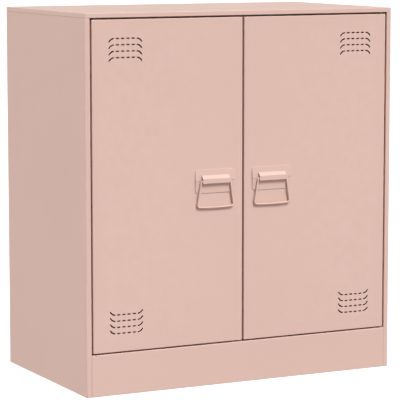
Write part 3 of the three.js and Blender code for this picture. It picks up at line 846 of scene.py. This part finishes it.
def handle_straps():
    face = strap_lo.y
    line = [
        (FRONT - STRAP_ROOT_PROUD, strap_hi.z), (face, STRAP_BEND_Z), (face, strap_lo.z),
        (face + STRAP_TURN_BACK, strap_lo.z),
    ]
    made = bent_sheet(line, strap_lo.x, strap_hi.x, across_x, inner=STRAP_BEND).mesh("handle_strap")
    show_pair("handle_strap", made, DOORS, STEEL)


def wire_route():
    """The wire's middle line in (x, z), from one of its ends round to the other."""
    low = BAIL_AXIS_Z - BAIL_DROP
    bow = [x / 8 for x in range(6, -7, -1)]
    bar = [(BAIL_BOTTOM_HALF * x, low - BAIL_BOW * (1 - x * x)) for x in bow]
    side = [(WIRE_END, BAIL_AXIS_Z), (BAIL_TOP_HALF, BAIL_AXIS_Z), (BAIL_BOTTOM_HALF, low), bar[0]]
    half = [point for point, _ in rounded(side, BAIL_RADII, 8)]
    return half + [Vector(p) for p in bar[1:-1]] + [Vector((-p.x, p.y)) for p in reversed(half)]


def bails():
    solid = Solid()
    route, rings = wire_route(), []
    for i, point in enumerate(route):
        ahead = (route[min(i + 1, len(route) - 1)] - route[max(i - 1, 0)]).normalized()
        across = Vector((ahead.y, -ahead.x))
        ring = []
        for k in range(WIRE_SIDES):
            angle = 2 * math.pi * k / WIRE_SIDES
            flat = point + across * WIRE_RADIUS * math.cos(angle)
            proud = BAIL_AXIS_PROUD + WIRE_RADIUS * math.sin(angle)
            ring.append((HANDLE_X + flat.x, FRONT - proud, flat.y))
        rings.append(solid.ring(ring))
    for a, b in zip(rings, rings[1:]):
        solid.bridge(a, b)
    solid.faces += [tuple(rings[0]), tuple(rings[-1])]
    axis = Matrix.Translation((HANDLE_X, FRONT - BAIL_AXIS_PROUD, BAIL_AXIS_Z))
    leaning = solid.moved(axis @ Matrix.Rotation(BAIL_LEAN, 4, "X") @ axis.inverted())
    show_pair("bail", leaning.mesh("bail"), BAILS, STEEL)


handle_plates()
handle_straps()
bails()

# ---- shelf rails ----

RAIL_FACE = 24
RAIL_FOOT = 9
RAIL_SLOTS = 7
RAIL_SLOT_PITCH = 75
RAIL_SLOT_WIDTH = 18
RAIL_SLOT_HEIGHT = 4
RAIL_SLOT_CORNER = 0.6
CLIP_SHEET = 1.2


def shelf_rails(place):
    lo, hi = cad_box(f"shelf_rail_{place}_right")
    middle, half = (lo.y + hi.y) / 2, RAIL_FACE / 2
    wall = hi.x - SHEET
    line = [
        (wall, middle + half + RAIL_FOOT), (wall, middle + half), (lo.x, middle + half),
        (lo.x, middle - half), (wall, middle - half), (wall, middle - half - RAIL_FOOT),
    ]
    made = bent_sheet(line, lo.z, hi.z, across_z).mesh("rail")
    tools = []
    for i in range(RAIL_SLOTS):
        z = shelf_lo.z - FIT - CLIP_SHEET / 2 + (i - (RAIL_SLOTS - 1) / 2) * RAIL_SLOT_PITCH
        outline = rounded_rect(
            middle - RAIL_SLOT_WIDTH / 2, middle + RAIL_SLOT_WIDTH / 2,
            z - RAIL_SLOT_HEIGHT / 2, z + RAIL_SLOT_HEIGHT / 2, RAIL_SLOT_CORNER,
        )
        tools.append(prism(outline, lo.x - 2, lo.x + 2, across_x))
    show_pair(f"shelf_rail_{place}", cut(made, *tools), CARCASS, STEEL)


for rail in ("front", "back"):
    shelf_rails(rail)

# ---- pins, bushes, buffers and screws ----

PIN_RADIUS = 2.5
BUSH_BORE = 2.65
BUSH_SLEEVE = 3.4
BUSH_REACH = 6
SCREW_CORE = 1.9  # radius over the thread
SCREW_LENGTH = 8
SCREW_THREAD = 0.35  # depth of the thread
SCREW_PITCH = 1.0
SCREW_RIM = 0.9  # height of the head's rim
RECESS_HALF_LENGTH = 1.8
RECESS_HALF_WIDTH = 0.42
RECESS_DEPTH = 1.2
SCREW_TURN = 37  # degrees from each screw to the next


def upright(solid, node, upturned):
    """A turned piece on a node's own axis, from the node's foot up, or from its top down if upturned."""
    lo, hi = cad_box(node)
    at = Vector(((lo.x + hi.x) / 2, (lo.y + hi.y) / 2, hi.z if upturned else lo.z))
    turn = Matrix.Rotation(math.pi, 4, "X") if upturned else Matrix.Identity(4)
    return solid.moved(Matrix.Translation(at) @ turn)


def hinge_hardware(end, upturned):
    """The pins and bushes at one end of the doors, each with its head or flange first."""
    node = f"hinge_pin_{end}_right"
    lo, hi = cad_box(node)
    head, length = (hi.x - lo.x) / 2, hi.z - lo.z
    pin = turned([
        (head - 0.4, 0), (head, 0.4), (head, 1.6), (head - 0.4, 2), (PIN_RADIUS, 2),
        (PIN_RADIUS, length - 1.4), (PIN_RADIUS - 0.3, length - 0.6), (PIN_RADIUS - 1, length),
    ])
    pin = upright(pin, node, upturned).mesh("pin")
    show_pair(f"hinge_pin_{end}", pin, CARCASS, ZINC)
    node = f"bush_{end}_right"
    lo, hi = cad_box(node)
    rim, length = (hi.x - lo.x) / 2, hi.z - lo.z
    flange = length - BUSH_REACH
    bush = hollow_turned([
        (BUSH_BORE, 0.3), (BUSH_BORE + 0.3, 0), (rim - 0.3, 0), (rim, 0.3), (rim, flange - 0.3),
        (rim - 0.3, flange), (BUSH_SLEEVE, flange), (BUSH_SLEEVE, length - 0.3),
        (BUSH_SLEEVE - 0.3, length), (BUSH_BORE, length),
    ])
    bush = upright(bush, node, upturned).mesh("bush")
    show_pair(f"bush_{end}", bush, DOORS, "nylon")


for end, upturned in (("lower", False), ("upper", True)):
    hinge_hardware(end, upturned)


def facing_back(solid, x, y, z):
    """Turns a piece made about +Z to lie about +Y from a point."""
    return solid.moved(Matrix.Translation((x, y, z)) @ Matrix.Rotation(-QUARTER, 4, "X"))


def buffers(end):
    lo, hi = cad_box(f"buffer_{end}_right")
    radius, length = (hi.x - lo.x) / 2, hi.y - lo.y
    shoulder = length - 2
    dome = [
        (radius * math.cos(a), shoulder + 2 * math.sin(a)) for a in (0, 0.3, 0.6, 0.9, 1.2, 1.4)
    ]
    made = turned([(radius - 0.2, 0), (radius, 0.2), *dome])
    made = facing_back(made, (lo.x + hi.x) / 2, lo.y, (lo.z + hi.z) / 2).mesh("buffer")
    show_pair(f"buffer_{end}", made, DOORS, "black_rubber")


for end in ("lower", "upper"):
    buffers(end)


def screw_mesh():
    """A pan-head screw with a cross recess; its head stands on z = 0 and its thread runs down."""
    lo, hi = screw_boxes[screw_nodes[0]]
    radius, top = (hi.x - lo.x) / 2, hi.y - BACK
    curve = [
        (radius * math.cos(a), SCREW_RIM + (top - SCREW_RIM) * math.sin(a))
        for a in (0, 0.35, 0.7, 1.05, 1.4)
    ]
    thread = [
        (SCREW_CORE - (SCREW_THREAD if i % 2 else 0.0), -SCREW_LENGTH + 1.2 + i * SCREW_PITCH / 2)
        for i in range(14)
    ]
    outline = [(0.5, -SCREW_LENGTH), *thread, (SCREW_CORE, FIT), (radius - 0.1, FIT), *curve]
    mesh = turned(outline).mesh("screw")
    arms = [
        block(-a, a, -b, b, top - RECESS_DEPTH, top + 1)
        for a, b in (
            (RECESS_HALF_LENGTH, RECESS_HALF_WIDTH),
            (RECESS_HALF_WIDTH, RECESS_HALF_LENGTH),
        )
    ]
    return cut(mesh, *arms)


screw = screw_mesh()
for i, node in enumerate(screw_nodes):
    x, z = screw_places[node]
    turn = Matrix.Rotation(math.radians(SCREW_TURN * i), 4, "Z")
    made = screw.copy()
    made.transform(Matrix.Translation(Vector((x, BACK, z)) * MM) @ Matrix.Rotation(-QUARTER, 4, "X") @ turn)
    show(f"{node}_look", node, made, CABINET, ZINC)

# ---- floor, light and camera ----

# The tent's sizes are in metres, and are scaled to millimetres before its mesh is made.
STAGE_RADIUS = 45.0
STAGE_COVE = 5.0
STAGE_MIDDLE = 0.1
STAGE_STEPS = 12


def stage():
    """A pale floor that runs up into a white tent; the sky and the lamps alone light the object."""
    cove = arc(STAGE_RADIUS - STAGE_COVE, STAGE_COVE, STAGE_COVE, -QUARTER, 0, 8)
    dome = arc(0, STAGE_COVE, STAGE_RADIUS, 0, QUARTER, STAGE_STEPS)[1:-1]
    shell = turned([(STAGE_MIDDLE, 0.0), *cove, *dome], 96)
    mesh = shell.moved(Matrix.Scale(1 / MM, 4)).mesh("stage")
    mesh.flip_normals()
    g = Graph("stage_white")
    mesh.materials.append(g.finish(
        Base_Color=(0.35, 0.35, 0.35, 1), Roughness=0.9, Emission_Color=(1, 1, 1, 1), Emission_Strength=0.85,
    ))
    tent = bpy.data.objects.new("stage", mesh)
    bpy.context.scene.collection.objects.link(tent)
    tent.visible_diffuse = False
    tent.visible_glossy = False
    tent.visible_shadow = False


# The sky's bands: height, 0 straight down and 1 straight up; brightness; red in it, where 1 is neutral.
SKY = (
    (0.0, 0.515, 1.06),
    (0.47, 0.515, 1.06),
    (0.51, 0.40, 1.06),
    (0.62, 0.40, 1.06),
    (0.72, 0.25, 1.0),
    (0.80, 0.25, 0.9),
    (0.88, 0.54, 0.8),
    (1.0, 0.54, 0.8),
)
SKY_LEFT, SKY_RIGHT = 0.45, 1.45  # how much of it comes from each side
# Lamps far enough away to light the whole object alike; width and directions are in degrees.
KEY_LAMP = {"azimuth": 12, "elevation": 51, "width": 24, "strength": 3.1}
LEFT_LAMP = {"azimuth": -112, "elevation": 10, "width": 24, "strength": 2.08}
RIGHT_LAMP = {"azimuth": 106, "elevation": 8, "width": 24, "strength": 0.5}


def from_front(azimuth, elevation):
    """The direction of a point seen from the cabinet, turned from the front towards +X and then up."""
    azimuth, elevation = math.radians(azimuth), math.radians(elevation)
    level = math.cos(elevation)
    return Vector((math.sin(azimuth) * level, -math.cos(azimuth) * level, math.sin(elevation)))


def lamp(name, azimuth, elevation, width, strength):
    data = bpy.data.lights.new(name, "SUN")
    data.angle = math.radians(width)
    data.energy = strength
    made = bpy.data.objects.new(name, data)
    bpy.context.scene.collection.objects.link(made)
    made.rotation_euler = from_front(azimuth, elevation).to_track_quat("Z", "Y").to_euler()


def light():
    """A soft sky that is brighter on the right, one big lamp over the front and one on each side."""
    world = bpy.data.worlds.new("studio")
    bpy.context.scene.world = world
    world.use_nodes = True
    tree = world.node_tree
    place = tree.nodes.new("ShaderNodeTexCoord")
    split = tree.nodes.new("ShaderNodeSeparateXYZ")
    height = tree.nodes.new("ShaderNodeMapRange")
    height.inputs["From Min"].default_value = -1.0
    ramp = tree.nodes.new("ShaderNodeValToRGB")
    stops = ramp.color_ramp.elements
    while len(stops) < len(SKY):
        stops.new(0.5)
    for stop, (at, level, red) in zip(stops, SKY):
        stop.position = at
        stop.color = (level * red, level, level, 1)
    sides = tree.nodes.new("ShaderNodeMapRange")
    sides.inputs["From Min"].default_value = -1.0
    sides.inputs["To Min"].default_value = SKY_LEFT
    sides.inputs["To Max"].default_value = SKY_RIGHT
    background = tree.nodes["Background"]
    for source, target in (
        (place.outputs["Generated"], split.inputs["Vector"]),
        (split.outputs["X"], sides.inputs["Value"]),
        (sides.outputs["Result"], background.inputs["Strength"]),
        (split.outputs["Z"], height.inputs["Value"]),
        (height.outputs["Result"], ramp.inputs["Fac"]),
        (ramp.outputs["Color"], background.inputs["Color"]),
    ):
        tree.links.new(source, target)
    lamp("key_lamp", **KEY_LAMP)
    lamp("left_lamp", **LEFT_LAMP)
    lamp("right_lamp", **RIGHT_LAMP)
    bpy.context.scene.view_settings.view_transform = "Standard"


# The camera looks at the aim from a distance, both in metres; its azimuth and elevation are in degrees.
CAMERA_AZIMUTH, CAMERA_ELEVATION = -27.038, 7.223
CAMERA_AIM = (0.0036, 0.0, 0.3390)
CAMERA_DISTANCE = 4.3287
CAMERA_LENS = 191.67


def camera():
    back = from_front(CAMERA_AZIMUTH, CAMERA_ELEVATION)
    data = bpy.data.cameras.new("camera")
    data.sensor_width = 36.0
    data.lens = CAMERA_LENS
    data.clip_end = 200.0
    made = bpy.data.objects.new("camera", data)
    bpy.context.scene.collection.objects.link(made)
    made.location = Vector(CAMERA_AIM) + back * CAMERA_DISTANCE
    made.rotation_euler = (-back).to_track_quat("-Z", "Y").to_euler()
    bpy.context.scene.camera = made


stage()
light()
camera()

# ---- CAD nodes that stay, with their edges broken ----

STAYING = {
    "hinge_plate": (ZINC, 0.3),
    "shelf_clip": (ZINC, 0.3),
    "catch_case": ("black_plastic", 0.8),
    "catch_magnet": ("ferrite", 0.4),
}
for node_name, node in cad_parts.items():
    for start, (kind, edge) in STAYING.items():
        if node_name.startswith(start):
            node.data.materials.clear()
            node.data.materials.append(MATERIALS[kind])
            bevel = node.modifiers.new("edges", "BEVEL")
            bevel.width = edge * MM
            bevel.segments = 3
            bevel.angle_limit = math.radians(35)
